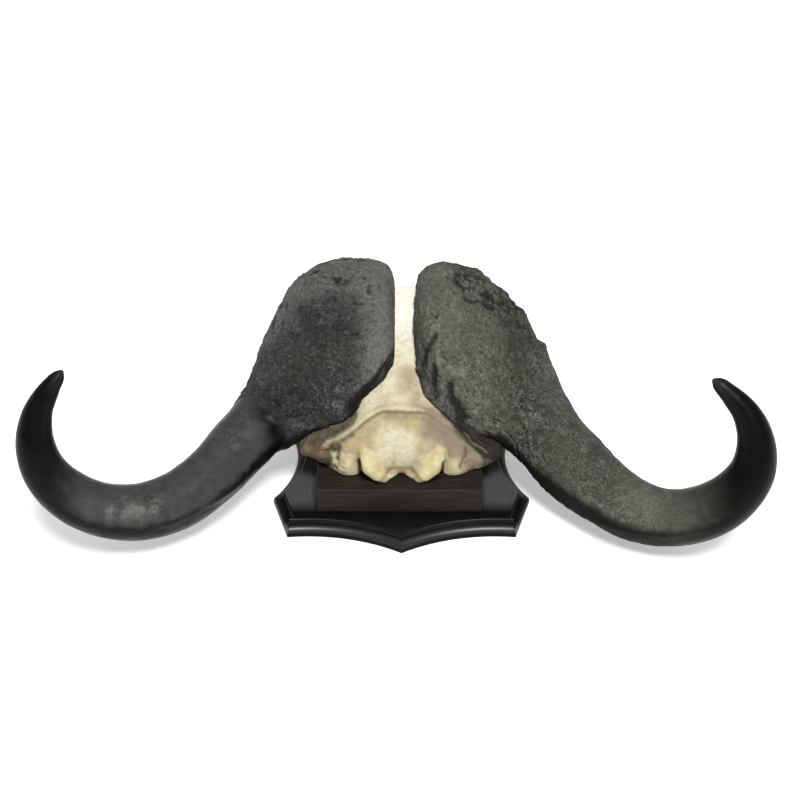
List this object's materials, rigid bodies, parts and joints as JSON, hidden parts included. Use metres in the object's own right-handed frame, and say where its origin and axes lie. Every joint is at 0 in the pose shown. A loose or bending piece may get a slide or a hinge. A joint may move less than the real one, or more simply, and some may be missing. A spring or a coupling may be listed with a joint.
{
  "type": "buffalo skull mount",
  "caption": "Sawn-off buffalo skull cap with broad rough bosses and two sweeping horns, on a wooden block and a moulded shield-shaped wall plaque.",
  "frame": {"origin": "middle of the plaque's flat back face, the face that goes against the wall", "axes": "+X to the object's right as pictured, +Z out of the wall through the plaque and skull, -Y towards the shield's lower tip and the back of the skull"},
  "size_m": [0.9504, 0.4435, 0.2613],
  "materials": {
    "bone": "dry cream bone, stained brown in its hollows, waxy on the condyles",
    "horn_grey": "charcoal grey horn, rough and pitted on the boss, satin on the shaft",
    "horn_brown": "brown-grey horn, fibrous and crusted on the boss, satin black at the tip",
    "brown_wood": "dark stained wood, matt",
    "black_wood": "black stained wood with a satin lacquer"
  },
  "bodies": {
    "root": {"skull_cap": "bone", "horn_left": "horn_grey", "horn_right": "horn_brown", "mounting_block": "brown_wood", "shield_plaque": "black_wood"}
  },
  "joints": []
}
